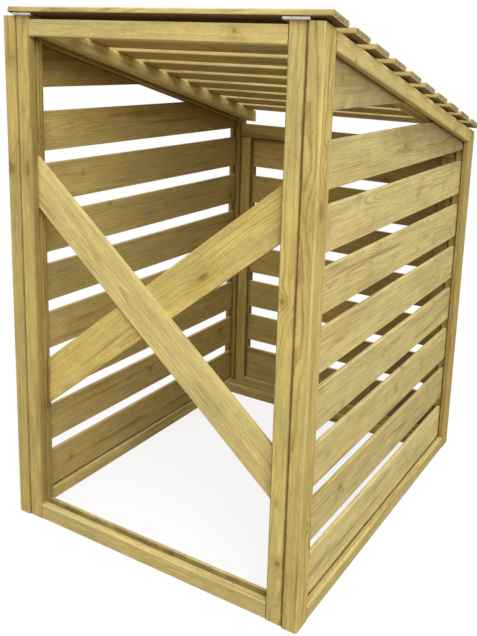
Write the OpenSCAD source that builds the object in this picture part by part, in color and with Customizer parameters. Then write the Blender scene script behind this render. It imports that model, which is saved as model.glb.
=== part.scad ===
// Slatted timber bin shelter: two grooved side panels, a cross-braced back frame,
// a floor sill, a framed front door and a sloping lid hinged along the high back edge.
// The back stands at low y and the door at high y. Everything is in millimetres.

/* [Overall] */
// Width over the two side panels
base_w = 800; // [640:1:1000]
// Depth of the side panels
base_d = 970; // [760:1:1100]
// Height of the side panels at the back edge
back_h = 1218; // [1190:1:1290]
// Fall of the roof towards the door, in degrees
roof_pitch = 15; // [12:0.5:17]

/* [Timber] */
// Radius of the eased edges on the frame timbers
edge_r = 4; // [1:0.5:5]
// Thickness of the boards that sit in the grooves
slat_t = 10; // [8:0.5:12]
// Radius of the eased edges on the boards
slat_r = 1.5; // [0.5:0.5:3]
// Play between a board and its groove
groove_play = 3; // [0.5:0.5:4]
// Depth of the grooves
groove_deep = 13; // [8:1:16]
// Play between the end of a board and the bottom of its groove
end_play = 1; // [0.5:0.5:3]

/* [Side panels] */
// Thickness of the side panels
side_t = 36; // [32:1:44]
// Width of the side stiles
side_stile_w = 48; // [40:1:60]
// Height of the side bottom rails
side_rail_h = 33; // [28:1:45]
// Depth of the sloping top rails, square to the slope
side_top_h = 36; // [30:1:45]
// Outer lip beside the groove of a side timber
side_lip = 14; // [10:1:16]
// Height of a full board in the side panels
slat_h = 94; // [70:1:105]
// Distance from one board to the next in the side panels
slat_pitch = 124.6; // [115:0.1:130]
// Top of the side panels' lowest board above the ground
first_slat_top = 132; // [100:1:150]
// Least gap between the gable board and the board below it
least_gap = 20; // [10:1:30]
// Depth of the gable board below the panel's back corner
gable_h = 158; // [130:1:190]

/* [Back frame] */
// Distance the back frame stands in from the back edge
back_set = 3; // [0:1:10]
// Depth of the back frame timbers
frame_d = 40; // [34:1:48]
// Width of the back frame stiles
frame_w = 40; // [34:1:50]
// Outer lip beside the groove of a frame or door timber
frame_lip = 16; // [12:1:20]
// Height of the back bottom rail
back_rail_h = 40; // [32:1:50]
// Height of the back top rail at its outer face
back_top_h = 37; // [30:1:50]
// Drop of the back top rail below the stile tops
back_top_drop = 6; // [4:1:12]
// Width of the two braces
brace_w = 90; // [70:1:110]
// Height of the rear brace's centre line at its low end
rear_brace_low = 357; // [250:1:420]
// Drop from the panels' back corner to the rear brace's high end
rear_brace_drop = 346; // [260:1:430]
// Height of the front brace's centre line at its low end
front_brace_low = 320; // [250:1:420]
// Drop from the panels' back corner to the front brace's high end
front_brace_drop = 369; // [260:1:430]

/* [Sill] */
// Depth of the floor sill
sill_d = 40; // [34:1:48]
// Height of the floor sill
sill_h = 31; // [26:1:36]
// Gap between the sill and the closed door
sill_gap = 8; // [6:1:14]

/* [Door] */
// Gap round the closed door
door_gap = 5; // [5:0.5:8]
// Gap under the door
door_lift = 8; // [6:1:14]
// Width of the door stiles
door_stile_w = 38; // [32:1:50]
// Height of the door's bottom rail
door_rail_h = 38; // [30:1:50]
// Height of the door's header at its inner face
header_h = 45; // [36:1:60]
// Gap between the closed door and the lid's rafters
door_top_gap = 7; // [5:0.5:12]
// Height of a full board in the door
door_slat_h = 90; // [70:1:105]
// Distance from one board to the next in the door
door_slat_pitch = 120.7; // [112:0.1:126]
// Top of the door's lowest board above the ground
door_first_top = 151; // [125:1:165]

/* [Lid] */
// How much shorter the lid's slats are than the shelter is wide
lid_trim = 7; // [0:1:30]
// Sideways set of the lid on its frame
lid_shift = 18; // [0:1:24]
// Thickness of the lid's slats
lid_slat_t = 12.5; // [10:0.5:18]
// Radius of the eased edges on the lid's slats
lid_slat_r = 3; // [1:0.5:4]
// Width of the lid's slats
lid_slat_w = 70; // [55:1:80]
// Distance the lid stops short of the front edge
lid_short = 26; // [10:1:40]
// Number of slats in the lid
lid_slats = 10; // [9:1:11]
// Overhang of the first slat past the back edge, along the slope
lid_over = 8; // [6:1:12]
// Gap between the lid's slats and the side panels
lid_gap = 6; // [5:0.5:8]
// Thickness of the lid's rafters
rafter_t = 36; // [28:1:45]
// Depth of the lid's rafters, square to the slope
rafter_h = 34; // [28:1:34]
// Gap between the rafters and what stands beside them
rafter_gap = 6; // [5:0.5:10]
// Distance the rafters stop short of the front edge
rafter_short = 14; // [10:1:30]

/* [Hinges] */
// Length of the lid's hinges
lid_hinge_l = 56; // [45:1:70]
// Distance the right lid hinge sits further out than the left one
right_hinge_out = 8; // [0:1:12]
// Reach of a lid hinge's leaf over its stile
lid_leaf_w = 32; // [24:1:36]
// Thickness of all hinge leaves
leaf_t = 2; // [1.5:0.25:2]
// Radius of a lid hinge's barrel
lid_barrel_r = 2.8; // [2.6:0.1:2.9]
// Distance a lid hinge's barrel stands clear of the back edge
lid_barrel_out = 1.2; // [1:0.1:2]
// Length of the door's hinges
door_hinge_l = 76; // [60:1:100]
// Reach of a door hinge's leaf
door_leaf_w = 30; // [22:1:34]
// Radius of a door hinge's barrel
door_barrel_r = 3.4; // [3:0.1:4]
// Radius of the hinge pins
pin_r = 1.2; // [1:0.1:1.4]
// Running clearance round the pins
pin_play = 0.05; // [0.03:0.01:0.1]
// Gap between two knuckles of a hinge
knuckle_gap = 0.5; // [0.3:0.1:1]
// Distance of the door's hinges from the ends of its stiles
door_hinge_in = 110; // [80:1:200]

/* [Hidden] */
$fn = 48;
groove_w = slat_t + groove_play;
tenon_l = groove_deep - end_play;
side_board_in = side_stile_w - tenon_l;
side_board_l = base_d - 2 * side_board_in;
gable_foot = back_h - gable_h;
side_slats = floor((gable_foot - least_gap - first_slat_top) / slat_pitch) + 1;
inner_w = base_w - 2 * side_t;
frame_in = side_t + frame_w;
frame_clear = base_w - 2 * frame_in;
back_in = back_set + frame_d;
groove_y = back_set + frame_lip;
lid_w = base_w - lid_trim;
lid_l = lid_trim / 2 + lid_shift;
lid_end = (base_d - lid_short - lid_gap * sin(roof_pitch)) / cos(roof_pitch);
lid_pitch = (lid_end + lid_over - lid_slat_w) / (lid_slats - 1);
rafter_y = back_in + door_gap;
rafter_end = base_d - rafter_short;
rafter_foot = back_h - rafter_end * tan(roof_pitch) - (rafter_h - lid_gap) / cos(roof_pitch);
header_top = rafter_foot - door_top_gap;
door_post_top = header_top - header_h;
door_l = side_t + door_gap;
door_w = base_w - 2 * door_l;
door_in = base_d - frame_d;
door_foot = door_lift + door_rail_h;
door_board_in = door_stile_w - tenon_l;
door_board_l = door_w - 2 * door_board_in;
door_slats = floor((door_post_top - door_first_top + door_slat_h / 2) / door_slat_pitch) + 1;
sill_y = door_in - sill_gap - sill_d;
lid_axis_s = -(lid_barrel_r + lid_barrel_out);
lid_axis_t = lid_gap / 2;
lid_plate = lid_gap / 2 - leaf_t;
door_axis_x = side_t + door_gap / 2;
door_axis_y = base_d + door_barrel_r;
far = 3 * (back_h + base_d);
// The origin is the middle of the whole shelter at ground level
mid_x = (min(0, lid_l) + max(base_w, lid_l + lid_w)) / 2;
slat_drop = (lid_gap + lid_slat_r) * sin(roof_pitch);
slat_reach = lid_slat_r + (lid_over - lid_slat_r) * cos(roof_pitch) - slat_drop;
barrel_reach = lid_barrel_r - lid_axis_s * cos(roof_pitch) - lid_axis_t * sin(roof_pitch);
back_reach = max(slat_reach, barrel_reach);
mid_y = (base_d + 2 * door_barrel_r - back_reach) / 2;

timber = [0.80, 0.74, 0.49];
board = [0.74, 0.67, 0.42];
metal = [0.72, 0.73, 0.74];

// --- placing ---

module centred() translate([-mid_x, -mid_y, 0]) children();

module other_side() translate([base_w, 0, 0]) mirror([1, 0, 0]) children();

// Local y runs down the roof from the back edge, local z stands square to it
module on_slope() translate([0, 0, back_h]) rotate([-roof_pitch, 0, 0]) children();

module below_slope(depth = 0) {
  on_slope() translate([-far / 2, -far / 2, -far - depth]) cube([far, far, far]);
}

module between_y(low, high) translate([-far / 2, low, -far / 2]) cube([far, high - low, far]);

module along_y(l) translate([0, l, 0]) rotate([90, 0, 0]) linear_extrude(l) children();

module along_x(l) rotate([90, 0, 90]) linear_extrude(l) children();

// --- sections ---

module rounded(w, h, r) {
  translate([r, 0]) square([w - 2 * r, h]);
  translate([0, r]) square([w, h - 2 * r]);
  for (x = [r, w - r]) for (y = [r, h - r]) translate([x, y]) circle(r);
}

// A timber w wide and d thick, grooved along its edge at x = w
module grooved(w, d, lip) {
  difference() {
    rounded(w, d, edge_r);
    translate([w - groove_deep, lip]) square([groove_deep + 1, groove_w]);
  }
}

// The same timber turned, with its groove at y = w
module grooved_turned(w, d, lip) mirror([1, -1]) grooved(w, d, lip);

// --- side panels, drawn as the left one ---

module side_stile() {
  intersection() {
    linear_extrude(far) grooved_turned(side_stile_w, side_t, side_lip);
    below_slope();
  }
}

module side_front_stile() {
  intersection() {
    translate([0, base_d, 0]) mirror([0, 1, 0])
      linear_extrude(far) grooved_turned(side_stile_w, side_t, side_lip);
    below_slope();
  }
}

module side_bottom_rail() {
  translate([0, side_stile_w, 0]) along_y(base_d - 2 * side_stile_w)
    grooved_turned(side_rail_h, side_t, side_lip);
  translate([side_lip, side_board_in, 0])
    cube([slat_t, side_board_l, side_rail_h - groove_deep]);
}

module side_top_rail() {
  intersection() {
    on_slope() along_y(far) translate([0, -side_top_h])
      translate([0, side_top_h]) mirror([0, 1]) grooved_turned(side_top_h, side_t, side_lip);
    between_y(side_stile_w, base_d - side_stile_w);
  }
  intersection() {
    on_slope() translate([side_lip, 0, groove_deep - side_top_h])
      cube([slat_t, far, side_top_h - groove_deep]);
    between_y(side_board_in, base_d - side_board_in);
  }
}

// A board that stands off the outer lip of its groove by lean
module side_board(foot, top, lean) {
  intersection() {
    translate([side_lip + lean, side_board_in, foot]) along_y(side_board_l)
      rounded(slat_t, top - foot, slat_r);
    below_slope(side_top_h - tenon_l);
  }
}

module side_slats(lean) {
  side_board(side_rail_h - tenon_l, first_slat_top, lean);
  for (i = [1 : side_slats - 1]) let (top = first_slat_top + i * slat_pitch)
    side_board(top - slat_h, top, lean);
  side_board(gable_foot, back_h, lean);
}

// --- back frame ---

module back_stile() {
  intersection() {
    translate([side_t, back_set, 0])
      linear_extrude(far) grooved(frame_w, frame_d, frame_lip);
    below_slope();
  }
}

module back_bottom_rail() {
  translate([frame_in, back_set, 0]) along_x(frame_clear)
    grooved_turned_back(back_rail_h);
  translate([frame_in - tenon_l, groove_y, 0])
    cube([frame_clear + 2 * tenon_l, slat_t, back_rail_h - groove_deep]);
}

// A rail h tall with its groove on top, its outer lip at y = 0
module grooved_turned_back(h) mirror([1, -1]) grooved(h, frame_d, frame_lip);

module back_top_rail() {
  low = back_h - back_set * tan(roof_pitch) - back_top_drop - back_top_h;
  intersection() {
    translate([frame_in, back_set, low]) along_x(frame_clear)
      translate([0, 2 * back_top_h]) mirror([0, 1]) grooved_turned_back(2 * back_top_h);
    below_slope(back_top_drop * cos(roof_pitch));
  }
  translate([frame_in - tenon_l, groove_y, low + groove_deep])
    cube([frame_clear + 2 * tenon_l, slat_t, back_top_h - groove_deep - slat_t]);
}

// A board at depth y that climbs from the left stile to the right one, its ends let in by seat
module brace(y, low, high, seat) {
  turn = atan((high - low) / frame_clear);
  reach = brace_w * tan(turn) + brace_w;
  intersection() {
    translate([frame_in, y, low]) rotate([0, -turn, 0]) translate([-reach, 0, -brace_w / 2])
      along_x(frame_clear / cos(turn) + 2 * reach) rounded(slat_t, brace_w, slat_r);
    translate([frame_in - seat, 0, 0]) cube([frame_clear + 2 * seat, base_d, back_h]);
  }
}

// Seated in the grooves of both stiles
module front_brace() {
  color(board) other_side() brace(groove_y, front_brace_low, back_h - front_brace_drop, tenon_l);
}

// Laid against the back of the front brace, its ends between the stiles
module rear_brace() {
  color(board) brace(groove_y + slat_t, rear_brace_low, back_h - rear_brace_drop, 0);
}

// --- sill ---

module floor_sill() {
  color(timber) translate([side_t, sill_y, 0]) along_x(inner_w)
    mirror([1, -1]) grooved(sill_h, sill_d, frame_lip);
}

// --- door ---

module door_stile() {
  translate([door_l, base_d, door_lift]) mirror([0, 1, 0])
    linear_extrude(door_post_top - door_lift) grooved(door_stile_w, frame_d, frame_lip);
}

module door_rail(h) {
  translate([door_l + door_stile_w, base_d, 0]) mirror([0, 1, 0])
    along_x(door_w - 2 * door_stile_w) mirror([1, -1]) grooved(h, frame_d, frame_lip);
}

module door_bottom_rail() {
  color(timber) {
    translate([0, 0, door_lift]) door_rail(door_rail_h);
    translate([door_l + door_board_in, base_d - frame_lip - slat_t, door_lift])
      cube([door_board_l, slat_t, door_rail_h - groove_deep]);
  }
}

module door_header() {
  color(timber) difference() {
    translate([door_l, base_d, door_post_top]) mirror([0, 1, 0])
      along_x(door_w) rounded(frame_d, 2 * header_h, edge_r);
    translate([-far / 2, door_in, header_top]) rotate([-roof_pitch, 0, 0])
      translate([0, -far / 2, 0]) cube([far, far, far]);
    translate([door_l + door_board_in - end_play, base_d - frame_lip - groove_w, 0])
      cube([door_board_l + 2 * end_play, groove_w, door_post_top + groove_deep]);
  }
}

module door_board(foot, top) {
  translate([door_l + door_board_in, base_d - frame_lip - slat_t, foot])
    along_x(door_board_l) rounded(slat_t, top - foot, slat_r);
}

module door_slats_panel() {
  color(board) {
    door_board(door_foot - tenon_l, door_first_top);
    for (i = [1 : door_slats - 2]) let (top = door_first_top + i * door_slat_pitch)
      door_board(top - door_slat_h, top);
    door_board(door_first_top + (door_slats - 1) * door_slat_pitch - door_slat_h,
      door_post_top + tenon_l);
  }
}

// --- lid ---

module lid_slat(i) {
  color(board) on_slope() translate([lid_l, i * lid_pitch - lid_over, lid_gap])
    along_x(lid_w) rounded(lid_slat_w, lid_slat_t, lid_slat_r);
}

module lid_rafter() {
  intersection() {
    on_slope() translate([side_t + rafter_gap, 0, lid_gap - rafter_h])
      along_y(far) rounded(rafter_t, rafter_h, edge_r);
    between_y(rafter_y, rafter_end);
  }
}

// --- hinges ---

// One half of a hinge round the local z axis, its plate at y = side_y and out to x = reach
module hinge_half(l, reach, barrel_r, side_y, knuckles) {
  clear = barrel_r + knuckle_gap;
  difference() {
    union() {
      translate([clear, side_y, 0]) cube([reach - clear, leaf_t, l]);
      for (k = knuckles) translate([0, 0, k[0]]) {
        cylinder(r = barrel_r, h = k[1] - k[0]);
        translate([0, side_y, 0]) cube([clear, leaf_t, k[1] - k[0]]);
      }
    }
    translate([0, 0, -1]) cylinder(r = pin_r + pin_play, h = l + 2);
  }
}

module hinge_base(l, reach, barrel_r, side_y) {
  third = l / 3;
  hinge_half(l, reach, barrel_r, side_y, [[0, third], [2 * third, l]]);
  cylinder(r = pin_r + pin_play, h = third);
  cylinder(r = pin_r, h = l);
  translate([0, 0, 2 * third]) cylinder(r = pin_r + pin_play, h = third);
}

module hinge_leaf(l, reach, barrel_r, side_y) {
  third = l / 3;
  hinge_half(l, reach, barrel_r, side_y,
    [[third + knuckle_gap, 2 * third - knuckle_gap]]);
}

// Turns a hinge so that its pin lies along x and its plates reach down the slope
module lid_hinge_place() {
  on_slope() translate([side_t, lid_axis_s, lid_axis_t]) rotate([90, 0, 90]) children();
}

// Mirrored, and set along the pin's line
module other_hinge() translate([right_hinge_out, 0, 0]) other_side() children();

module lid_hinge_base() {
  lid_hinge_place() hinge_base(lid_hinge_l, lid_leaf_w, lid_barrel_r, -lid_plate - leaf_t);
}

module lid_hinge_leaf() {
  lid_hinge_place() hinge_leaf(lid_hinge_l, lid_leaf_w, lid_barrel_r, lid_plate);
}

module door_hinge_base(z) {
  translate([door_axis_x, door_axis_y, z]) mirror([1, 0, 0])
    hinge_base(door_hinge_l, door_leaf_w, door_barrel_r, -door_barrel_r);
}

module door_hinge_leaf(z) {
  translate([door_axis_x, door_axis_y, z])
    hinge_leaf(door_hinge_l, door_leaf_w, door_barrel_r, -door_barrel_r);
}

low_hinge_z = door_lift + door_hinge_in;
high_hinge_z = door_post_top - door_hinge_in - door_hinge_l;

// --- nodes ---

module left_back_stile() color(timber) side_stile();
module left_front_stile() color(timber) side_front_stile();
module left_bottom_rail() color(timber) side_bottom_rail();
module left_top_rail() color(timber) side_top_rail();
// Both panels' boards lean the same way in their grooves, towards low x
module left_slats() color(board) side_slats(0);
module right_back_stile() color(timber) other_side() side_stile();
module right_front_stile() color(timber) other_side() side_front_stile();
module right_bottom_rail() color(timber) other_side() side_bottom_rail();
module right_top_rail() color(timber) other_side() side_top_rail();
module right_slats() color(board) other_side() side_slats(groove_play);
module back_left_stile() color(timber) back_stile();
module back_right_stile() color(timber) other_side() back_stile();
module door_hinge_stile() color(timber) door_stile();
module door_free_stile() color(timber) other_side() door_stile();
module lid_left_rafter() color(timber) lid_rafter();
module lid_right_rafter() color(timber) other_side() lid_rafter();
module left_lid_hinge_base() color(metal) lid_hinge_base();
module left_lid_hinge_leaf() color(metal) lid_hinge_leaf();
module right_lid_hinge_base() color(metal) other_hinge() lid_hinge_base();
module right_lid_hinge_leaf() color(metal) other_hinge() lid_hinge_leaf();
module upper_door_hinge_base() color(metal) door_hinge_base(high_hinge_z);
module upper_door_hinge_leaf() color(metal) door_hinge_leaf(high_hinge_z);
module lower_door_hinge_base() color(metal) door_hinge_base(low_hinge_z);
module lower_door_hinge_leaf() color(metal) door_hinge_leaf(low_hinge_z);

centred() {
  left_back_stile();
  left_front_stile();
  left_bottom_rail();
  left_top_rail();
  left_slats();
  right_back_stile();
  right_front_stile();
  right_bottom_rail();
  right_top_rail();
  right_slats();
  back_left_stile();
  back_right_stile();
  color(timber) back_bottom_rail();
  color(timber) back_top_rail();
  front_brace();
  rear_brace();
  floor_sill();
  door_hinge_stile();
  door_free_stile();
  door_bottom_rail();
  door_header();
  door_slats_panel();
  for (i = [1 : lid_slats])
    lid_slat(i - 1);
  lid_left_rafter();
  lid_right_rafter();
  left_lid_hinge_base();
  left_lid_hinge_leaf();
  right_lid_hinge_base();
  right_lid_hinge_leaf();
  upper_door_hinge_base();
  upper_door_hinge_leaf();
  lower_door_hinge_base();
  lower_door_hinge_leaf();
}
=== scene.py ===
import math

import bmesh
import bpy
from mathutils import Matrix, Vector


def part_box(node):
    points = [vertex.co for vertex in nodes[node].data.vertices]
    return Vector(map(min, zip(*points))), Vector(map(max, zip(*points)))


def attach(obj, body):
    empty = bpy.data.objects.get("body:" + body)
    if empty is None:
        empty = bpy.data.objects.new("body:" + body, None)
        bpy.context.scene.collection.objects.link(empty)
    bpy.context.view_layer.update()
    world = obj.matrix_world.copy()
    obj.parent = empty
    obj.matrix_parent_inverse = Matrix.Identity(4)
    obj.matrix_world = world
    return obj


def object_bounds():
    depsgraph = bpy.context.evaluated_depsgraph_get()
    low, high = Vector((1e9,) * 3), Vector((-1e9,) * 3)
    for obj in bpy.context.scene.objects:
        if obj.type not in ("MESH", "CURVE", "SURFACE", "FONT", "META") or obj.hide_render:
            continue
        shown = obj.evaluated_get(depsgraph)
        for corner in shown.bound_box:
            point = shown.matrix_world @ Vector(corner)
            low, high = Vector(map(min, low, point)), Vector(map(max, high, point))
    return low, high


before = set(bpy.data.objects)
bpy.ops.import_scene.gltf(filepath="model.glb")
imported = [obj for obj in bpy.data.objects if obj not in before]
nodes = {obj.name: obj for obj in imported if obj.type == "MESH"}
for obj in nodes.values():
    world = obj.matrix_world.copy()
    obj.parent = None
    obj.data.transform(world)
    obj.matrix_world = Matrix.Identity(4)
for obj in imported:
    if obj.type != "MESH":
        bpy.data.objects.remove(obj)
cadBox = [list(corner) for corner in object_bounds()]
right, deep, up = Vector((1, 0, 0)), Vector((0, 1, 0)), Vector((0, 0, 1))


# helpers for node trees


def paint(red, green, blue):    # a colour as it is seen, 0 to 255, in the linear values a shader wants
    channels = []
    for value in (red, green, blue):
        share = value / 255
        channels.append(share / 12.92 if share <= 0.04045 else ((share + 0.055) / 1.055) ** 2.4)
    return (*channels, 1)


def addNode(tree, kind, values=None, **settings):
    node = tree.nodes.new(kind)
    for key, value in settings.items():
        setattr(node, key, value)
    for socket, value in (values or {}).items():
        plug(tree, value, node.inputs[socket])
    return node


def plug(tree, value, target):    # a socket is linked, anything else is typed in
    if isinstance(value, bpy.types.NodeSocket):
        tree.links.new(value, target)
    else:
        target.default_value = value


def calc(tree, operation, *values):
    return addNode(tree, "ShaderNodeMath", dict(enumerate(values)), operation=operation).outputs[0]


def calcVector(tree, operation, *values):
    node = addNode(tree, "ShaderNodeVectorMath", dict(enumerate(values)), operation=operation)
    return node.outputs["Value" if operation in ("LENGTH", "DOT_PRODUCT") else "Vector"]


def split(tree, vector):
    return addNode(tree, "ShaderNodeSeparateXYZ", {0: vector}).outputs


def blendColor(tree, factor, below, above, mode="MIX"):    # 0, 6 and 7 are the sockets that colours use
    node = addNode(tree, "ShaderNodeMix", data_type="RGBA", blend_type=mode)
    for socket, value in ((0, factor), (6, below), (7, above)):
        plug(tree, value, node.inputs[socket])
    return node.outputs[2]


def ramp(tree, value, fromLow, fromHigh, toLow=0.0, toHigh=1.0):
    sockets = {0: value, 1: fromLow, 2: fromHigh, 3: toLow, 4: toHigh}
    return addNode(tree, "ShaderNodeMapRange", sockets, interpolation_type="SMOOTHSTEP").outputs[0]


def around(tree, value, spread, middle=1.0):    # turns noise from 0 to 1 into a number close to middle
    return calc(tree, "MULTIPLY_ADD", value, spread, middle - spread / 2)


def cloud(tree, place, stretch, detail=2.0, roughness=0.5):    # noise, with its size in cells per metre
    scaled = calcVector(tree, "MULTIPLY", place, stretch)
    sockets = {"Vector": scaled, "Scale": 1.0, "Detail": detail, "Roughness": roughness}
    return addNode(tree, "ShaderNodeTexNoise", sockets)


def chanceOf(tree, number):
    return addNode(tree, "ShaderNodeTexWhiteNoise", {"W": number}, noise_dimensions="1D").outputs


def newGroup(name, inputs, outputs):
    tree = bpy.data.node_groups.new(name, "ShaderNodeTree")
    for direction, sockets in (("INPUT", inputs), ("OUTPUT", outputs)):
        for label, kind in sockets.items():
            tree.interface.new_socket(label, in_out=direction, socket_type="NodeSocket" + kind)
    return tree, addNode(tree, "NodeGroupInput").outputs, addNode(tree, "NodeGroupOutput").inputs


def useGroup(tree, group, sockets):
    return addNode(tree, "ShaderNodeGroup", sockets, node_tree=group).outputs


def newMaterial(name):
    material = bpy.data.materials.new(name)
    material.use_nodes = True
    material.node_tree.nodes.clear()
    return material, material.node_tree


def surface(tree, shader, kind="ShaderNodeOutputMaterial"):
    addNode(tree, kind, {"Surface": shader})


# pine: growth rings round a heart, knots that bend them, fibre, stains and sawn ends

pine = {
    "warmPatch": (196, 166, 92),
    "greyStain": (178, 168, 116),
    "streak": (138, 106, 52),
    "speck": (104, 80, 46),
    "knotHeart": (150, 120, 68),
    "knotRim": (104, 78, 44),
    "sawnEnd": (180, 166, 122),
    "sawnPore": (112, 90, 54),
    # the colour of the painted shade laid in the seams and on shaded faces
    "paintedShade": (92, 59, 22),
    "shift": (9, 9, 9),                # the most that chance moves the pattern by, in metres
    "seedStep": 1.31,                  # from one timber to the next
    "rowSeedStep": 40,                 # from one row of boards to the next
    "boardSeedStep": 3.7,              # from one board of a row to the next
    "knotCell": (0.24, 0.06, 0.11),    # metres from one possible knot to the next
    "knotThrough": 0.15,               # share of the depth that counts, so a knot runs through the board
    "bigKnotShape": (0.4, 1, 0.4),     # the same for a big knot along, across and into the timber
    "knotSmall": 0.0022,
    "knotGrowth": 0.0045,
    "noKnot": 0.0001,                  # size of a knot that isn't there
    "knotSweep": 2.0,                  # how far the rings swing round a knot, in knot sizes
    "knotFade": 0.1,                   # how fast that swing dies away
    "heartAcrossDrift": 0.05,          # metres that the heart wanders along the timber
    "heartDepthDrift": 0.07,
    "heartLuck": 0.04,                 # metres between the hearts of two timbers
    "ringWobble": 0.011,
    "yearSpread": 0.8,                 # how much one year's late wood may be paler than another's
    "speckShare": 0.5,
    "sweepShare": 0.5,
    "knotShare": 0.62,
    "sawnShare": 0.85,
    "sawnRings": 0.7,
}

pineNoise = {    # cells per metre along, across and into the timber, then octaves and roughness
    "drift": ((1.6, 3, 3), 2.0),
    "wobble": ((9, 40, 40), 3.0, 0.6),
    "fibre": ((16, 480, 480), 2.0),
    "mottle": ((90, 260, 260), 2.0, 0.7),
    "blotch": ((16, 44, 44), 3.0, 0.65),
    "patches": ((3.5, 13, 13), 3.0, 0.6),
    "streaks": ((2.4, 42, 42), 2.0, 0.6),
    "silk": ((5, 150, 150), 2.0, 0.6),
    "specks": ((90, 300, 300), 1.0),
    "pores": ((60, 170, 170), 3.0, 0.7),
    "chips": ((9, 60, 60), 2.0),
    # noise for the ragged edge of the painted shade in the seams
    "dirtAndShade": ((26, 26, 26), 3.0, 0.6),
}

pineFade = {    # where a mark begins and is full, then its least and greatest share where they aren't 0 and 1
    "knot": (1.5, 0.4),
    "knotHeart": (0.9, 0.1),
    "lateWood": (0.42, 0.86),
    "nextYear": (1.0, 0.92),
    "grain": (0.34, 0.62, 0.35, 1.0),
    "warmPatch": (0.45, 0.7, 0, 0.28),
    "greyStain": (0.46, 0.7, 0, 0.45),
    "streak": (0.57, 0.72, 0, 0.5),
    "speck": (0.68, 0.75),
    "speckPatch": (0.42, 0.58),
    "sawnEnd": (0.6, 0.85),
    "pores": (0.62, 0.34),
    "easedEdge": (-1.0, -0.1),
    "chips": (0.3, 0.7, 0.4, 1.0),
    "crevice": (1.0, 0.1),
    "shadedFace": (0.3, 0.8),
}

# how much each of these lightens and darkens the wood, roughens it and raises it
pineTone = {"fibre": 0.16, "silk": 0.5, "mottle": 0.34, "blotch": 0.5, "timber": 0.16}
pineRough = {"plain": 0.68, "fibre": 0.2, "sawn": 0.12, "knot": 0.15}
pineRelief = {"fibre": 0.6, "lateWood": 0.35, "mottle": 0.5, "knot": 0.6}
creviceRagged = 0.7    # how much the edge of the painted shade in the seams comes and goes


def pineCloud(tree, place, name):
    return cloud(tree, place, *pineNoise[name])


def fade(tree, value, name):
    return ramp(tree, value, *pineFade[name])


def buildBoardRow():    # centres the pattern on each board of a row and numbers the boards
    tree, given, result = newGroup(
        "boardRow",
        {"Place": "Vector", "First": "Float", "Pitch": "Float", "Last": "Float"},
        {"Place": "Vector", "Number": "Float"},
    )
    axes = split(tree, given["Place"])
    steps = calc(tree, "DIVIDE", calc(tree, "SUBTRACT", axes[1], given["First"]), given["Pitch"])
    number = calc(tree, "MINIMUM", calc(tree, "ROUND", steps), given["Last"])
    number = calc(tree, "MAXIMUM", number, 0.0)
    middle = calc(tree, "MULTIPLY_ADD", number, given["Pitch"], given["First"])
    across = calc(tree, "SUBTRACT", axes[1], middle)
    centred = addNode(tree, "ShaderNodeCombineXYZ", {0: axes[0], 1: across, 2: axes[2]}).outputs[0]
    plug(tree, centred, result["Place"])
    plug(tree, number, result["Number"])
    return tree


def sweepOf(tree, ratio):    # fades from 1 at a knot to nothing a few knot sizes away
    squared = calc(tree, "POWER", ratio, 2.0)
    return calc(tree, "EXPONENT", calc(tree, "MULTIPLY", squared, -pine["knotFade"]))


def bulgeOf(tree, size, sweep):
    return calc(tree, "MULTIPLY", calc(tree, "MULTIPLY", size, sweep), pine["knotSweep"])


def smallKnots(tree, place, howMany):    # a sparse cell pattern, measured in metres to keep knots round
    cell = Vector(pine["knotCell"])
    perMetre = tuple(1 / side for side in cell)
    cellPlace = calcVector(tree, "MULTIPLY", place, perMetre)
    cells = addNode(tree, "ShaderNodeTexVoronoi", {"Vector": cellPlace, "Scale": 1.0}).outputs
    offset = calcVector(tree, "SUBTRACT", cellPlace, cells["Position"])
    drawn = (cell.x, cell.y, cell.z * pine["knotThrough"])
    distance = calcVector(tree, "LENGTH", calcVector(tree, "MULTIPLY", offset, drawn))
    luck = split(tree, cells["Color"])
    present = calc(tree, "LESS_THAN", luck[1], howMany)
    size = calc(tree, "MULTIPLY_ADD", luck[0], pine["knotGrowth"], pine["knotSmall"])
    size = calc(tree, "MAXIMUM", calc(tree, "MULTIPLY", size, present), pine["noKnot"])
    ratio = calc(tree, "DIVIDE", distance, size)
    sweep = sweepOf(tree, ratio)
    return ratio, calc(tree, "MULTIPLY", sweep, present), bulgeOf(tree, size, sweep)


def bigKnot(tree, given):    # one bigger knot at a place of its own
    away = calcVector(tree, "SUBTRACT", given["Place"], given["Big Knot"])
    away = calcVector(tree, "MULTIPLY", away, pine["bigKnotShape"])
    ratio = calc(tree, "DIVIDE", calcVector(tree, "LENGTH", away), given["Big Knot Size"])
    sweep = sweepOf(tree, ratio)
    return ratio, sweep, bulgeOf(tree, given["Big Knot Size"], sweep)


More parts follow.
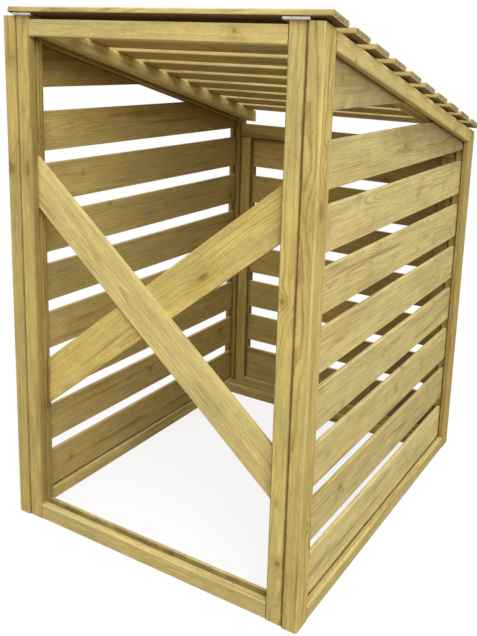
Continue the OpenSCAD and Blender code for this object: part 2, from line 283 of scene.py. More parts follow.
def lateWood(tree, given, place, luck, bulge):    # rings round a heart that wanders slowly along the timber
    axes = split(tree, given["Place"])
    drift = split(tree, pineCloud(tree, place, "drift").outputs["Color"])
    lean = calc(tree, "MULTIPLY", calc(tree, "SUBTRACT", luck[0], 0.5), given["Heart Tilt"])
    depth = calc(tree, "MULTIPLY_ADD", axes[0], lean, given["Heart Depth"])
    wander = calc(tree, "MULTIPLY", calc(tree, "SUBTRACT", drift[0], 0.5), pine["heartDepthDrift"])
    depth = calc(tree, "ADD", depth, wander)
    chance = calc(tree, "SUBTRACT", luck[1], 0.5)
    across = calc(tree, "MULTIPLY_ADD", chance, pine["heartLuck"], given["Heart Across"])
    wander = calc(tree, "MULTIPLY", calc(tree, "SUBTRACT", drift[1], 0.5), pine["heartAcrossDrift"])
    across = calc(tree, "ADD", across, wander)
    sideways = calc(tree, "POWER", calc(tree, "SUBTRACT", axes[1], across), 2.0)
    inwards = calc(tree, "POWER", calc(tree, "SUBTRACT", axes[2], depth), 2.0)
    radius = calc(tree, "SQRT", calc(tree, "ADD", sideways, inwards))
    wobble = pineCloud(tree, place, "wobble").outputs[0]
    radius = calc(tree, "MULTIPLY_ADD", wobble, pine["ringWobble"], radius)
    years = calc(tree, "DIVIDE", calc(tree, "ADD", radius, bulge), given["Ring Width"])
    season = calc(tree, "FRACT", years)
    late = calc(tree, "MULTIPLY", fade(tree, season, "lateWood"), fade(tree, season, "nextYear"))
    yearLuck = chanceOf(tree, calc(tree, "ADD", calc(tree, "FLOOR", years), given["Seed"]))["Value"]
    spread = pine["yearSpread"]
    return calc(tree, "MULTIPLY", late, calc(tree, "MULTIPLY_ADD", yearLuck, spread, 1 - spread))


def sawnColor(tree, place, late):    # the open pores and rings of a sawn end
    pores = fade(tree, pineCloud(tree, place, "pores").outputs[0], "pores")
    pores = calc(tree, "MAXIMUM", pores, calc(tree, "MULTIPLY", late, pine["sawnRings"]))
    return blendColor(tree, pores, paint(*pine["sawnEnd"]), paint(*pine["sawnPore"]))


def buildPineFigure():
    tree, given, result = newGroup(
        "pineFigure",
        {
            "Place": "Vector",
            "Facing": "Vector",
            "Seed": "Float",
            "Early Wood": "Color",
            "Late Wood": "Color",
            "Ring Width": "Float",
            "Ring Contrast": "Float",
            "Heart Across": "Float",
            "Heart Depth": "Float",
            "Heart Tilt": "Float",
            "Knots": "Float",
            "Big Knot": "Vector",
            "Big Knot Size": "Float",
        },
        {"Color": "Color", "Roughness": "Float", "Height": "Float"},
    )
    chance = chanceOf(tree, given["Seed"])["Color"]
    luck = split(tree, chance)
    place = calcVector(tree, "ADD", given["Place"], calcVector(tree, "MULTIPLY", chance, pine["shift"]))

    ratio, sweep, bulge = smallKnots(tree, place, given["Knots"])
    bigRatio, bigSweep, bigBulge = bigKnot(tree, given)
    bulge = calc(tree, "ADD", bulge, bigBulge)
    sweep = calc(tree, "MAXIMUM", sweep, bigSweep)
    ratio = calc(tree, "MINIMUM", ratio, bigRatio)
    knot, heart = fade(tree, ratio, "knot"), fade(tree, ratio, "knotHeart")
    late = lateWood(tree, given, place, luck, bulge)

    noise = {}
    for name in ("fibre", "silk", "mottle", "blotch", "streaks", "specks"):
        noise[name] = pineCloud(tree, place, name).outputs[0]
    patch = split(tree, pineCloud(tree, place, "patches").outputs["Color"])
    grain = calc(tree, "MULTIPLY", late, fade(tree, patch[0], "grain"))
    grain = calc(tree, "MULTIPLY", grain, given["Ring Contrast"])
    color = blendColor(tree, grain, given["Early Wood"], given["Late Wood"])
    for name, mark in (("warmPatch", patch[1]), ("greyStain", patch[2]), ("streak", noise["streaks"])):
        color = blendColor(tree, fade(tree, mark, name), color, paint(*pine[name]))
    speck = calc(tree, "MULTIPLY", fade(tree, noise["specks"], "speck"), fade(tree, patch[2], "speckPatch"))
    color = blendColor(tree, calc(tree, "MULTIPLY", speck, pine["speckShare"]), color, paint(*pine["speck"]))
    color = blendColor(tree, calc(tree, "MULTIPLY", sweep, pine["sweepShare"]), color, given["Late Wood"])
    knotColor = blendColor(tree, heart, paint(*pine["knotRim"]), paint(*pine["knotHeart"]))
    color = blendColor(tree, calc(tree, "MULTIPLY", knot, pine["knotShare"]), color, knotColor)
    sawn = fade(tree, calc(tree, "ABSOLUTE", split(tree, given["Facing"])[0]), "sawnEnd")
    sawnShare = calc(tree, "MULTIPLY", sawn, pine["sawnShare"])
    color = blendColor(tree, sawnShare, color, sawnColor(tree, place, late))
    tone = around(tree, noise["fibre"], pineTone["fibre"])
    for name in ("silk", "mottle", "blotch"):
        tone = calc(tree, "MULTIPLY", tone, around(tree, noise[name], pineTone[name]))
    tone = calc(tree, "MULTIPLY", tone, around(tree, luck[2], pineTone["timber"]))
    shade = addNode(tree, "ShaderNodeCombineXYZ", {0: tone, 1: tone, 2: tone}).outputs[0]
    plug(tree, blendColor(tree, 1.0, color, shade, "MULTIPLY"), result["Color"])

    rough = calc(tree, "MULTIPLY_ADD", noise["fibre"], pineRough["fibre"], pineRough["plain"])
    rough = calc(tree, "MULTIPLY_ADD", sawn, pineRough["sawn"], rough)
    rough = calc(tree, "SUBTRACT", rough, calc(tree, "MULTIPLY", knot, pineRough["knot"]))
    plug(tree, rough, result["Roughness"])
    height = calc(tree, "MULTIPLY", late, pineRelief["lateWood"])
    for name, mark in (("fibre", noise["fibre"]), ("mottle", noise["mottle"]), ("knot", knot)):
        height = calc(tree, "MULTIPLY_ADD", mark, pineRelief[name], height)
    plug(tree, height, result["Height"])
    return tree


def buildEdgeWearAndHighlight():    # finds the eased edges of a timber from its half sizes, for paler edges that are partly wear and partly painted highlight
    inputs = {"Place": "Vector", "Half Size": "Vector", "Width": "Float"}
    tree, given, result = newGroup("edgeWearAndHighlight", inputs, {"Mask": "Float"})
    reach = calcVector(tree, "SUBTRACT", calcVector(tree, "ABSOLUTE", given["Place"]), given["Half Size"])
    axes = split(tree, reach)
    lower = calc(tree, "MINIMUM", axes[0], axes[1])
    upper = calc(tree, "MAXIMUM", axes[0], axes[1])
    edge = calc(tree, "MAXIMUM", lower, calc(tree, "MINIMUM", upper, axes[2]))
    edge = calc(tree, "DIVIDE", edge, given["Width"])
    chips = fade(tree, pineCloud(tree, given["Place"], "chips").outputs[0], "chips")
    plug(tree, calc(tree, "MULTIPLY", fade(tree, edge, "easedEdge"), chips), result["Mask"])
    return tree


def buildCrevice():    # painted shade on what lies close to a plane where timbers meet, where shadow falls in the seam
    inputs = {"Place": "Vector", "Point": "Vector", "Direction": "Vector", "Width": "Float", "Share": "Float"}
    tree, given, result = newGroup("crevice", inputs, {"Mask": "Float"})
    apart = calcVector(tree, "SUBTRACT", given["Place"], given["Point"])
    apart = calc(tree, "ABSOLUTE", calcVector(tree, "DOT_PRODUCT", apart, given["Direction"]))
    gap = calc(tree, "DIVIDE", apart, given["Width"])
    dirtAndShade = pineCloud(tree, given["Place"], "dirtAndShade").outputs[0]
    gap = calc(tree, "ADD", gap, around(tree, dirtAndShade, creviceRagged, 0.0))
    plug(tree, calc(tree, "MULTIPLY", fade(tree, gap, "crevice"), given["Share"]), result["Mask"])
    return tree


def buildFaceShade():    # painted shade on the faces that are turned one way, growing along the timber
    vectors = {label: "Vector" for label in ("Place", "Facing", "Turned", "Along")}
    numbers = {label: "Float" for label in ("From", "To", "Least", "Most")}
    tree, given, result = newGroup("faceShade", {**vectors, **numbers}, {"Mask": "Float"})
    turned = calcVector(tree, "DOT_PRODUCT", given["Facing"], given["Turned"])
    reach = calcVector(tree, "DOT_PRODUCT", given["Place"], given["Along"])
    share = ramp(tree, reach, given["From"], given["To"], given["Least"], given["Most"])
    plug(tree, calc(tree, "MULTIPLY", fade(tree, turned, "shadedFace"), share), result["Mask"])
    return tree


boardRow, pineFigure = buildBoardRow(), buildPineFigure()
edgeWearAndHighlight, crevice, faceShade = buildEdgeWearAndHighlight(), buildCrevice(), buildFaceShade()
print("wood patterns built")


# sizes and directions read from the frame


def pointsOf(name):
    return [vertex.co for vertex in nodes[name].data.vertices]


def reachOf(name, direction):    # how far a piece goes from the origin along a direction, least and most
    reach = [point.dot(direction) for point in pointsOf(name)]
    return min(reach), max(reach)


def centreOf(name):
    low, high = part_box(name)
    return (low + high) / 2


def turnTo(along, across):    # rows are the timber's own length, width and depth
    along, across = along.normalized(), across.normalized()
    return Matrix((along, across, along.cross(across)))


def climbOf(name):    # the direction of a slanting board, from its left end to its right one
    low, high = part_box(name)
    heights = []
    for end in (low.x, high.x):
        near = [point.z for point in pointsOf(name) if abs(point.x - end) < 0.001]
        heights.append(sum(near) / len(near))
    return Vector((high.x - low.x, 0, heights[1] - heights[0])).normalized()


def boardsOf(name):    # the lowest and highest points of the separate boards in one node, from the ground up
    mesh = bmesh.new()
    mesh.from_mesh(nodes[name].data)
    bmesh.ops.remove_doubles(mesh, verts=mesh.verts, dist=0.00001)
    found, waiting = [], set(mesh.verts)
    while waiting:
        board, edge = set(), [waiting.pop()]
        while edge:
            vertex = edge.pop()
            board.add(vertex)
            for link in vertex.link_edges:
                other = link.other_vert(vertex)
                if other in waiting:
                    waiting.remove(other)
                    edge.append(other)
        heights = [vertex.co.z for vertex in board]
        found.append((min(heights), max(heights)))
    mesh.free()
    return sorted(found)


def rowOf(name):    # the lowest board may have a width of its own, so the pitch is taken from the next two
    boards = boardsOf(name)
    middles = [(low + high) / 2 for low, high in boards]
    pitch = middles[2] - middles[1]
    half = (boards[1][1] - boards[1][0]) / 2
    return {"first": middles[1] - pitch, "pitch": pitch, "last": len(boards) - 1, "half": half}


lidSlats = sorted((n for n in nodes if n.startswith("lid_slat_")), key=lambda n: int(n.split("_")[-1]))
downRoof = (centreOf(lidSlats[-1]) - centreOf(lidSlats[0])).normalized()
offRoof = right.cross(downRoof)

# painted shade in the seams and under the rails, where shadow falls between parts: how far it reaches in
# metres, and how dark it is

seams = {
    "leftStiles": (0.004, 0.5),
    "rightStiles": (0.007, 0.75),
    "besideOpening": (0.005, 0.5),
    "boardEnd": (0.022, 0.72),
    "overBottomRail": (0.006, 0.75),
    "underTopRail": (0.016, 0.7),
    # a wide band of painted shadow from the top rail and the lid on the boards below
    "belowTopRail": (0.13, 0.48),
    "frontStile": (0.004, 0.3),
    "sideRailEnd": (0.004, 0.72),
    "backRailEnd": (0.005, 0.72),
    "braceEnd": (0.02, 0.72),
    "underHeader": (0.016, 0.6),
    "header": (0.004, 0.6),
    "doorStile": (0.004, 0.75),
    # painted shadow under the lid's first slat, above the back top rail
    "firstLidSlat": (0.0014, 0.85),
}
groove = {
    "lowest": 0.2,     # its walls are found between these two shares of the rail's height
    "highest": 0.8,
    "reach": 1.8,      # how far the painted shade goes from its middle, in half widths of the groove
    "share": 0.9,
}
crevices = {name: [] for name in nodes}


def addSeam(name, direction, level, kind):    # a plane across direction, where name meets another piece
    crevices[name].append((direction * level, direction, *seams[kind]))


def addEndSeams(name, along, kind):
    for level in reachOf(name, along):
        addSeam(name, along, level, kind)


def addGroove(name):    # painted shade in the groove along the top of a rail
    low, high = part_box(name)
    walls = []
    for point in pointsOf(name):
        if groove["lowest"] < (point.z - low.z) / (high.z - low.z) < groove["highest"]:
            walls.append(point.y)
    middle, half = (min(walls) + max(walls)) / 2, (max(walls) - min(walls)) / 2
    crevices[name].append((deep * middle, deep, half * groove["reach"], groove["share"]))


for side, outward in (("left", -right), ("right", right)):
    outer, inner, boards = side + "_back_stile", "back_" + side + "_stile", side + "_slats"
    front, topRail, bottomRail = side + "_front_stile", side + "_top_rail", side + "_bottom_rail"
    for name in (outer, inner):
        addSeam(name, outward, reachOf(outer, outward)[0], side + "Stiles")
    addSeam(inner, outward, reachOf(inner, outward)[0], "besideOpening")
    addSeam(front, deep, reachOf(front, deep)[0], "frontStile")
    addSeam(boards, up, reachOf(bottomRail, up)[1], "overBottomRail")
    for kind in ("underTopRail", "belowTopRail"):
        addSeam(boards, offRoof, reachOf(topRail, offRoof)[0], kind)
    addEndSeams(boards, deep, "boardEnd")
    for name in (topRail, bottomRail):
        addEndSeams(name, deep, "sideRailEnd")
for name in ("back_top_rail", "back_bottom_rail"):
    addEndSeams(name, right, "backRailEnd")
for name in ("front_brace", "rear_brace"):
    addEndSeams(name, right, "braceEnd")
addEndSeams("door_slats_panel", right, "boardEnd")
addSeam("door_slats_panel", up, reachOf("door_header", up)[0], "underHeader")
addSeam("door_hinge_stile", right, reachOf("door_hinge_stile", right)[1], "doorStile")
addSeam("door_header", up, reachOf("door_header", up)[0], "header")
addGroove("back_bottom_rail")
addSeam(lidSlats[0], offRoof, reachOf(lidSlats[0], offRoof)[0], "firstLidSlat")

# painted shade on faces that are turned one way, such as inner faces, undersides and the braces' tops: the
# share where the shade begins and where it ends

faceShadeShares = {
    "leftBoards": (0.0, 0.22),
    "rightBoards": (0.0, 0.3),
    "topRails": (0.5, 0.6),
    "leftStile": (0.5, 0.5),
    "rightStile": (0.2, 0.2),
    "braceTops": (0.25, 0.25),
    "door": (0.0, 0.6),
    "doorHeader": (0.0, 0.35),
    "lidUnderside": (0.0, 0.7),
    "lidBackEdge": (0.0, 0.3),
}
lidShadeStart = 0.08    # metres in from the side panels' top rails
faceShades = {name: [] for name in nodes}
backToDoor = (cadBox[0][1], cadBox[1][1])
doorEnds = reachOf("door_slats_panel", right)
anywhere = (0.0, 1.0)    # for a painted shade that is as dark at both its ends


def addFaceShade(name, turned, along, ends, kind):
    faceShades[name].append((turned, along, *ends, *faceShadeShares[kind]))


for side, inward in (("left", right), ("right", -right)):
    addFaceShade(side + "_slats", inward, deep, backToDoor, side + "Boards")
    addFaceShade(side + "_top_rail", inward, deep, backToDoor, "topRails")
    addFaceShade("back_" + side + "_stile", inward, up, anywhere, side + "Stile")
    inner, outer = reachOf(side + "_top_rail", -inward)
    for name in lidSlats:
        addFaceShade(name, -offRoof, -inward, (inner - lidShadeStart, outer), "lidUnderside")
        addFaceShade(name, -downRoof, -inward, (inner - lidShadeStart, outer), "lidBackEdge")
for name in ("front_brace", "rear_brace"):
    addFaceShade(name, up, up, anywhere, "braceTops")
for name in ("door_slats_panel", "door_free_stile"):
    addFaceShade(name, -deep, right, doorEnds, "door")
addFaceShade("door_header", -deep, right, doorEnds, "doorHeader")

# the finish of each kind of timber

pineFinish = {
    "earlyWood": (208, 188, 124),
    "lateWood": (166, 134, 74),
    "ringWidth": 0.0062,
    "ringContrast": 0.9,
    "heartAcross": 0.012,
    "heartDepth": 0.03,
    "heartTilt": 0.08,
    "knots": 0.3,
    "bigKnot": (0, 0, 9),    # far outside the timber where it has none
    "bigKnotSize": 0.006,
    # the paler colour of eased edges, partly wear and partly painted highlight
    "edge": (222, 208, 156),
    "edgeWidth": 0.0035,
    "edgeShare": 0.3,
    "bump": 0.0007,
    "bumpStrength": 0.6,
    "specular": 0.2,
}


def tint(base, earlyWood, lateWood, **changes):
    return {**base, "earlyWood": earlyWood, "lateWood": lateWood, **changes}


stile = tint({}, (216, 195, 117), (162, 132, 66), ringContrast=0.7, edgeShare=0.22)
# a darker copy of the stile colours: painted shade for the front stiles, which stand in shade
shadedStile = tint({}, (188, 163, 94), (138, 109, 54), ringContrast=0.7)
rail = tint({}, (214, 195, 127), (172, 144, 80), ringContrast=0.5)
# brighter than the rails: painted light for the patches that fall between the lid's slats
rafter = tint(rail, (236, 218, 146), (196, 168, 98))
slat = tint({}, (214, 198, 136), (156, 130, 74), heartDepth=0.02, knots=0.38, ringContrast=0.68)
# a darker, browner copy of the slat colours: painted shade for the left boards, which are seen from inside
shadedSlat = tint(slat, (203, 181, 113), (146, 115, 58), ringContrast=0.5)
doorSlat = tint(slat, (222, 198, 126), (166, 134, 72), ringContrast=0.5)
# a darker copy of the slat colours: painted shade for the lid's undersides
lidSlat = tint(slat, (204, 184, 122), (146, 118, 66))
brace = tint({}, (220, 202, 134), (172, 144, 78), ringContrast=0.62, edgeShare=0.12)
brace = {**brace, "heartDepth": 0.012, "heartTilt": 0.02}
yellowBrace = tint(brace, (218, 196, 116), (168, 140, 66))

bigKnots = {    # how far along, across and into the timber from its middle, and the knot's size
    "right_back_stile": ((0.27, -0.006, -0.01), 0.008),
    "back_left_stile": ((0.27, 0.004, -0.02), 0.006),
    "left_back_stile": ((0.27, -0.024, 0.01), 0.005),
    "rear_brace": ((0.16, 0.012, 0.0), 0.006),
}


def shadeMasksOn(tree, source, name):    # the masks of all the painted shade in the seams and on the shaded faces of a timber
    masks = []
    for point, direction, width, share in crevices[name]:
        sockets = {"Point": point, "Direction": direction, "Width": width, "Share": share}
        masks.append(useGroup(tree, crevice, {"Place": source["Object"], **sockets})["Mask"])
    for turned, along, start, end, least, most in faceShades[name]:
        sockets = {"Place": source["Object"], "Facing": source["Normal"], "Turned": turned, "Along": along}
        sockets.update({"From": start, "To": end, "Least": least, "Most": most})
        masks.append(useGroup(tree, faceShade, sockets)["Mask"])
    return masks


def pineMaterial(name, seed, along, across, finish, row=None):
    finish = {**pineFinish, **finish}
    if name in bigKnots:
        finish["bigKnot"], finish["bigKnotSize"] = bigKnots[name]
    turn = turnTo(along, across)
    spans = [reachOf(name, axis) for axis in turn]
    middle = Vector([(low + high) / 2 for low, high in spans])
    half = Vector([(high - low) / 2 for low, high in spans])
    material, tree = newMaterial("pine_" + name)
    source = addNode(tree, "ShaderNodeTexCoord").outputs
    angles = turn.to_euler("XYZ")
    sockets = {"Vector": source["Object"], "Rotation": angles, "Location": -middle}
    place = addNode(tree, "ShaderNodeMapping", sockets, vector_type="POINT").outputs[0]
    sockets = {"Vector": source["Normal"], "Rotation": angles}
    facing = addNode(tree, "ShaderNodeMapping", sockets, vector_type="POINT").outputs[0]
    number = seed
    if row:
        half.y = row["half"]
        first = row["first"] - middle.y
        sockets = {"Place": place, "First": first, "Pitch": row["pitch"], "Last": row["last"]}
        boards = useGroup(tree, boardRow, sockets)
        place = boards["Place"]
        number = calc(tree, "MULTIPLY_ADD", boards["Number"], pine["boardSeedStep"], seed)
    sockets = {
        "Place": place,
        "Facing": facing,
        "Seed": number,
        "Early Wood": paint(*finish["earlyWood"]),
        "Late Wood": paint(*finish["lateWood"]),
        "Ring Width": finish["ringWidth"],
        "Ring Contrast": finish["ringContrast"],
        "Heart Across": finish["heartAcross"],
        "Heart Depth": finish["heartDepth"],
        "Heart Tilt": finish["heartTilt"],
        "Knots": finish["knots"],
        "Big Knot": finish["bigKnot"],
        "Big Knot Size": finish["bigKnotSize"],
    }
    figure = useGroup(tree, pineFigure, sockets)
    # paler eased edges: partly wear, partly painted highlight
    sockets = {"Place": place, "Half Size": half, "Width": finish["edgeWidth"]}
    wornAndLitEdge = calc(tree, "MULTIPLY", useGroup(tree, edgeWearAndHighlight, sockets)["Mask"], finish["edgeShare"])
    color = blendColor(tree, wornAndLitEdge, figure["Color"], paint(*finish["edge"]))
    # painted shade from the seams and the shaded faces, laid over the wood's colour
    darkest = None
    for mask in shadeMasksOn(tree, source, name):
        darkest = calc(tree, "MAXIMUM", darkest, mask) if darkest else mask
    if darkest:
        color = blendColor(tree, darkest, color, paint(*pine["paintedShade"]))
    sockets = {"Height": figure["Height"], "Strength": finish["bumpStrength"], "Distance": finish["bump"]}
    bump = addNode(tree, "ShaderNodeBump", sockets).outputs[0]
    sockets = {"Base Color": color, "Roughness": figure["Roughness"], "Normal": bump}
    sockets["Specular IOR Level"] = finish["specular"]
    surface(tree, addNode(tree, "ShaderNodeBsdfPrincipled", sockets).outputs[0])
    return material


def setMaterial(piece, material):
    piece.data.materials.clear()
    piece.data.materials.append(material)


timbers = [
    (("left_back_stile", "right_back_stile"), up, deep, stile),
    (("left_front_stile", "right_front_stile"), up, deep, shadedStile),
    (("left_bottom_rail", "right_bottom_rail"), deep, up, rail),
    (("left_top_rail", "right_top_rail"), downRoof, offRoof, rail),
    (("lid_left_rafter", "lid_right_rafter"), downRoof, offRoof, rafter),
    (("back_right_stile", "door_hinge_stile", "door_free_stile", "back_left_stile"), up, right, stile),
    (("back_bottom_rail", "back_top_rail", "floor_sill", "door_bottom_rail", "door_header"), right, up, rail),
    (tuple(lidSlats), right, downRoof, lidSlat),
]
seed = 1.0
for names, along, across, finish in timbers:
    for name in names:
        seed += pine["seedStep"]
        setMaterial(nodes[name], pineMaterial(name, seed, along, across, finish))
boardRows = [
    ("left_slats", deep, shadedSlat),
    ("right_slats", deep, slat),
    ("door_slats_panel", right, doorSlat),
]
for name, along, finish in boardRows:
    seed += pine["rowSeedStep"]
    setMaterial(nodes[name], pineMaterial(name, seed, along, up, finish, rowOf(name)))
for name, finish in (("front_brace", brace), ("rear_brace", yellowBrace)):
    seed += pine["seedStep"]
    climb = climbOf(name)
    setMaterial(nodes[name], pineMaterial(name, seed, climb, deep.cross(climb), finish))
print("pine laid on the timbers and boards")

# zinc-coated steel

steel = {
    "color": (216, 213, 206),
    "dull": (168, 164, 155),
    "spangle": 260,              # flakes per metre
    "scratch": (900, 60, 900),
    "dirtAndShade": (70, 70, 70),
    "flakeShade": 0.35,
    "dirtFade": (0.45, 0.7, 0, 0.5),
    "rough": 0.22,
    "scratchRough": 0.2,
    "flakeRough": 0.08,
    "bump": 0.0002,
    "bumpStrength": 0.4,
}


def buildZincCoat():
    outputs = {"Color": "Color", "Roughness": "Float", "Height": "Float"}
    tree, given, result = newGroup("zincCoat", {"Place": "Vector"}, outputs)
    flakes = addNode(tree, "ShaderNodeTexVoronoi", {"Vector": given["Place"], "Scale": steel["spangle"]})
    flake = split(tree, flakes.outputs["Color"])[0]
    scratches = cloud(tree, given["Place"], steel["scratch"]).outputs[0]
    dirtAndShade = ramp(tree, cloud(tree, given["Place"], steel["dirtAndShade"], 3.0).outputs[0], *steel["dirtFade"])
    shade = calc(tree, "MULTIPLY_ADD", flake, steel["flakeShade"], dirtAndShade)
    plug(tree, blendColor(tree, shade, paint(*steel["color"]), paint(*steel["dull"])), result["Color"])
    rough = calc(tree, "MULTIPLY_ADD", scratches, steel["scratchRough"], steel["rough"])
    plug(tree, calc(tree, "MULTIPLY_ADD", flake, steel["flakeRough"], rough), result["Roughness"])
    plug(tree, scratches, result["Height"])
    return tree


zincCoat = buildZincCoat()


def steelMaterial(name):
    material, tree = newMaterial(name)
    source = addNode(tree, "ShaderNodeTexCoord").outputs
    coat = useGroup(tree, zincCoat, {"Place": source["Object"]})
    sockets = {"Height": coat["Height"], "Strength": steel["bumpStrength"], "Distance": steel["bump"]}
    bump = addNode(tree, "ShaderNodeBump", sockets).outputs[0]
    sockets = {"Base Color": coat["Color"], "Roughness": coat["Roughness"], "Normal": bump, "Metallic": 1.0}
    surface(tree, addNode(tree, "ShaderNodeBsdfPrincipled", sockets).outputs[0])
    return material


hingeSteel = steelMaterial("hinge_steel")
for name, piece in nodes.items():
    if "hinge_base" in name or "hinge_leaf" in name:
        setMaterial(piece, hingeSteel)
print("steel laid on the hinges")

# screws: a raised countersunk head with a cross recess

screw = {
    "radius": 0.0042,
    "rise": 0.0007,
    "shoulder": 0.72,           # radius of the flat top, as a share of the rim's
    "crown": 1.25,              # height of the cross's edge, as a share of the rise
    "cross": 0.0021,
    "slot": 0.0008,
    "recess": 0.0013,
    "taper": 0.45,              # size of the recess at its foot, as a share of the cross at its top
    "sides": 20,
    "turn": 0.9,                # radians from one screw's slot to the next, so that no two stand alike
    "fromRafter": 0.006,        # metres to each side of a rafter's middle
    "fromSlat": 0.26,           # share of a slat's width to each side of its middle
    "plateInset": 0.011,
    "plateShares": (0.14, 0.5, 0.86),
}


def newPiece(name, mesh):
    data = bpy.data.meshes.new(name)
    mesh.to_mesh(data)
    mesh.free()
    piece = bpy.data.objects.new(name, data)
    bpy.context.scene.collection.objects.link(piece)
    return piece


def circleRing(mesh, radius, height):
    before = len(mesh.edges)
    lift = Matrix.Translation((0, 0, height))
    bmesh.ops.create_circle(mesh, segments=screw["sides"], radius=radius, matrix=lift, cap_ends=False)
    mesh.edges.ensure_lookup_table()
    return mesh.edges[before:]


def crossRing(mesh, share, height):
    long, short = screw["cross"] * share, screw["slot"] / 2 * share
    corners = []
    for quarter in range(4):
        turn = Matrix.Rotation(quarter * math.pi / 2, 3, "Z")
        for x, y in ((long, -short), (long, short), (short, short)):
            corners.append(mesh.verts.new(turn @ Vector((x, y, height))))
    return [mesh.edges.new((corners[i], corners[i - 1])) for i in range(len(corners))]


def screwHead():    # rings from the rim up to the cross and down into it, bridged and closed
    mesh = bmesh.new()
    crown = screw["rise"] * screw["crown"]
    rings = [
        circleRing(mesh, screw["radius"], 0),
        circleRing(mesh, screw["radius"] * screw["shoulder"], screw["rise"]),
        crossRing(mesh, 1, crown),
        crossRing(mesh, screw["taper"], crown - screw["recess"]),
    ]
    for near, far in zip(rings, rings[1:]):
        bmesh.ops.bridge_loops(mesh, edges=near + far)
    for ring in (rings[-1], rings[0]):
        bmesh.ops.contextual_create(mesh, geom=ring)
    bmesh.ops.recalc_face_normals(mesh, faces=mesh.faces)
    head = bpy.data.meshes.new("screwHead")
    mesh.to_mesh(head)
    mesh.free()
    return head


def screwSet(name, body, seats, material):    # seats are points with the direction each head faces
    head = screwHead()
    mesh = bmesh.new()
    for count, (point, facing) in enumerate(seats):
        before = len(mesh.verts)
        mesh.from_mesh(head)
        mesh.verts.ensure_lookup_table()
        turn = facing.to_track_quat("Z", "Y").to_matrix().to_4x4()
        spin = Matrix.Rotation(count * screw["turn"], 4, "Z")
        bmesh.ops.transform(mesh, matrix=Matrix.Translation(point) @ turn @ spin, verts=mesh.verts[before:])
    piece = newPiece(name, mesh)
    setMaterial(piece, material)
    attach(piece, body)


def slatSeats(name):    # two screws through a lid slat into each rafter
    low, high = reachOf(name, downRoof)
    middle = downRoof * ((low + high) / 2) + offRoof * reachOf(name, offRoof)[1]
    seats = []
    for rafterName in ("lid_left_rafter", "lid_right_rafter"):
        for side in (-1, 1):
            across = right * (centreOf(rafterName).x + side * screw["fromRafter"])
            down = downRoof * (side * (high - low) * screw["fromSlat"])
            seats.append((middle + across + down, offRoof))
    return seats


def plateSeats(name):    # three screws down a door hinge's plate, set in from its outer edge
    low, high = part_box(name)
    end, inward = (low.x, 1) if "base" in name else (high.x, -1)
    face = max(point.y for point in pointsOf(name) if abs(point.x - end) < 0.0001)
    x = end + inward * screw["plateInset"]
    return [(Vector((x, face, low.z + (high.z - low.z) * share)), deep) for share in screw["plateShares"]]


screwSteel = steelMaterial("screw_steel")
screwSet("lid_screws", "lid", [seat for name in lidSlats for seat in slatSeats(name)], screwSteel)
for plate, body in (("base", "frame"), ("leaf", "door")):
    seats = plateSeats("upper_door_hinge_" + plate) + plateSeats("lower_door_hinge_" + plate)
    screwSet("hinge_" + plate + "_screws", body, seats, screwSteel)
print("screws set")

# stage, lamps and camera

stage = {
    "floor": (150, 138, 120),    # what the floor throws back on the object
    "size": 30,
    "shadowShare": 0.16,
    "shadowFrom": 1.4,
    "shadowTo": 3.6,
    "skyLow": 0.09,
    "skyHigh": 1.19,
    "lampAim": (0, 0, 0.55),
}
white = (1, 1, 1, 1)


def rayMix(tree, plain, seen):    # keeps what is seen directly or mirrored apart from what lights the object
    path = addNode(tree, "ShaderNodeLightPath").outputs
    looked = calc(tree, "MAXIMUM", path["Is Camera Ray"], path["Is Glossy Ray"])
    looked = calc(tree, "MAXIMUM", looked, path["Is Transmission Ray"])
    return addNode(tree, "ShaderNodeMixShader", {0: looked, 1: plain, 2: seen}).outputs[0]


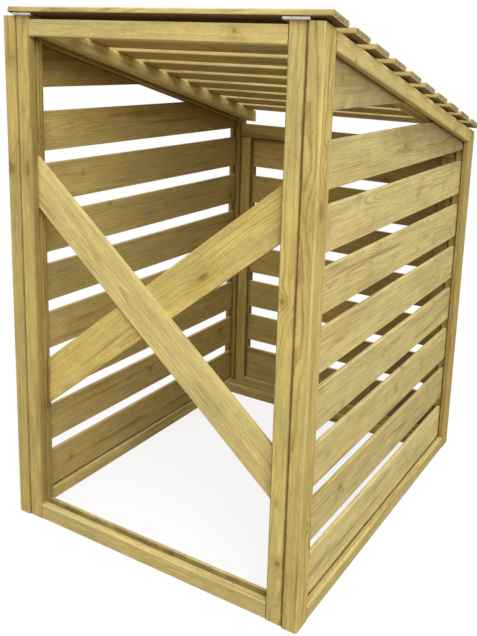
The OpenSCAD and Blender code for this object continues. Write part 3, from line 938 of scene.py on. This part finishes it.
def makeFloor():    # white to the eye, with the object's shadow fading out around it
    mesh = bmesh.new()
    bmesh.ops.create_grid(mesh, x_segments=1, y_segments=1, size=stage["size"])
    floor = newPiece("floor", mesh)
    material, tree = newMaterial("pale_floor")
    source = addNode(tree, "ShaderNodeTexCoord").outputs
    radius = calcVector(tree, "LENGTH", source["Object"])
    shadow = ramp(tree, radius, stage["shadowFrom"], stage["shadowTo"], stage["shadowShare"], 0.0)
    plain = addNode(tree, "ShaderNodeBsdfDiffuse", {"Color": paint(*stage["floor"])}).outputs[0]
    catcher = addNode(tree, "ShaderNodeBsdfDiffuse", {"Color": white}).outputs[0]
    glow = addNode(tree, "ShaderNodeEmission", {"Strength": 1.0}).outputs[0]
    seen = addNode(tree, "ShaderNodeMixShader", {0: shadow, 1: glow, 2: catcher}).outputs[0]
    surface(tree, rayMix(tree, plain, seen))
    setMaterial(floor, material)


def makeSky():    # brightest overhead
    world = bpy.data.worlds.new("sky")
    bpy.context.scene.world = world
    world.use_nodes = True
    tree = world.node_tree
    tree.nodes.clear()
    source = addNode(tree, "ShaderNodeTexCoord").outputs
    height = split(tree, source["Generated"])[2]
    strength = ramp(tree, height, 0.0, 1.0, stage["skyLow"], stage["skyHigh"])
    lighting = addNode(tree, "ShaderNodeBackground", {"Color": white, "Strength": strength}).outputs[0]
    seen = addNode(tree, "ShaderNodeBackground", {"Color": white, "Strength": 1.0}).outputs[0]
    surface(tree, rayMix(tree, lighting, seen), "ShaderNodeOutputWorld")


lamps = {
    "overhead": {"place": (0.8, -1.2, 4.4), "size": 3.0, "power": 64},
    "front": {"place": (3.4, -3.3, 3.6), "size": 3.0, "power": 180},
}


def makeLamp(name, place, size, power):
    light = bpy.data.lights.new(name, "AREA")
    light.size = size
    light.energy = power
    lamp = bpy.data.objects.new(name, light)
    bpy.context.scene.collection.objects.link(lamp)
    lamp.location = place
    lamp.rotation_euler = (Vector(stage["lampAim"]) - Vector(place)).to_track_quat("-Z", "Y").to_euler()


camera = {
    "place": (1.0146, -1.7178, 1.1672),
    "turn": (77.827, -2.133, 30.28),    # degrees
    "lens": 44.14,
    "sensor": 36,
    "sideShift": -0.0586,
    "upShift": -0.1583,
}


def makeCamera():
    data = bpy.data.cameras.new("camera")
    data.sensor_fit = "AUTO"
    data.sensor_width = camera["sensor"]
    data.lens = camera["lens"]
    data.shift_x = camera["sideShift"]
    data.shift_y = camera["upShift"]
    view = bpy.data.objects.new("camera", data)
    bpy.context.scene.collection.objects.link(view)
    view.location = camera["place"]
    view.rotation_euler = [math.radians(angle) for angle in camera["turn"]]
    bpy.context.scene.camera = view


makeFloor()
makeSky()
for name, lamp in lamps.items():
    makeLamp(name, **lamp)
makeCamera()
bpy.context.scene.view_settings.view_transform = "Standard"
print("stage, lamps and camera set")
